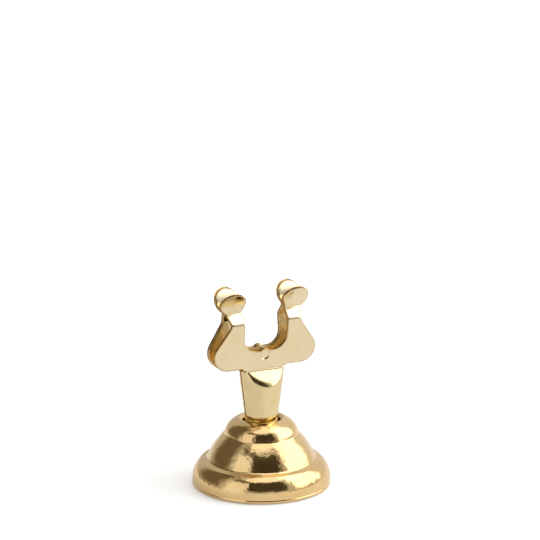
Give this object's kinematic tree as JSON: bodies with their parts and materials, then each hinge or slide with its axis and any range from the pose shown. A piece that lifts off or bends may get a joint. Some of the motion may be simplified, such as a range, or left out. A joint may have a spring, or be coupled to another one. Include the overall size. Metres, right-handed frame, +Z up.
{
  "type": "place card holder",
  "caption": "Free-standing place card holder: a weighted bell-shaped base with a sprung clip of matching harp-shaped jaws that grip a card or sign upright.",
  "frame": {"origin": "middle of the underside of the base pad, on the table", "axes": "+Z up along the stem, +X across the harp, -Y towards the front jaw"},
  "size_m": [0.038, 0.038, 0.0561],
  "materials": {
    "gold_plate": "polished gold plating",
    "gold_wire": "bright drawn wire",
    "bare_steel": "mill finish",
    "cast_weight": "as cast",
    "felt": "pressed felt"
  },
  "bodies": {
    "base": {"base_shell": "gold_plate", "base_weight": "cast_weight", "base_plate": "bare_steel", "base_pad": "felt"},
    "clip_core": {"foot_washer": "bare_steel", "clip_spring": "gold_wire"},
    "front_jaw": {"front_jaw": "gold_plate"},
    "rear_jaw": {"rear_jaw": "gold_plate"}
  },
  "joints": [
    {"name": "clip_swivel", "type": "hinge", "parent": "base", "child": "clip_core", "pos_m": [0, 0, 0.0132], "axis": [0, 0, 1], "continuous": true},
    {"name": "front_jaw_open", "type": "hinge", "parent": "clip_core", "child": "front_jaw", "pos_m": [0, 0, 0.014], "axis": [1, 0, 0], "range_deg": [0, 2.5], "stiffness_Nm_per_rad": 0.2, "springref_deg": -11.46, "deforming": ["clip_spring"]},
    {"name": "rear_jaw_open", "type": "hinge", "parent": "clip_core", "child": "rear_jaw", "pos_m": [0, 0, 0.014], "axis": [-1, 0, 0], "range_deg": [0, 2.5], "stiffness_Nm_per_rad": 0.2, "springref_deg": -11.46, "deforming": ["clip_spring"]}
  ],
  "couplings": [
    {"joint": "rear_jaw_open", "follows": "front_jaw_open", "ratio": 1}
  ]
}
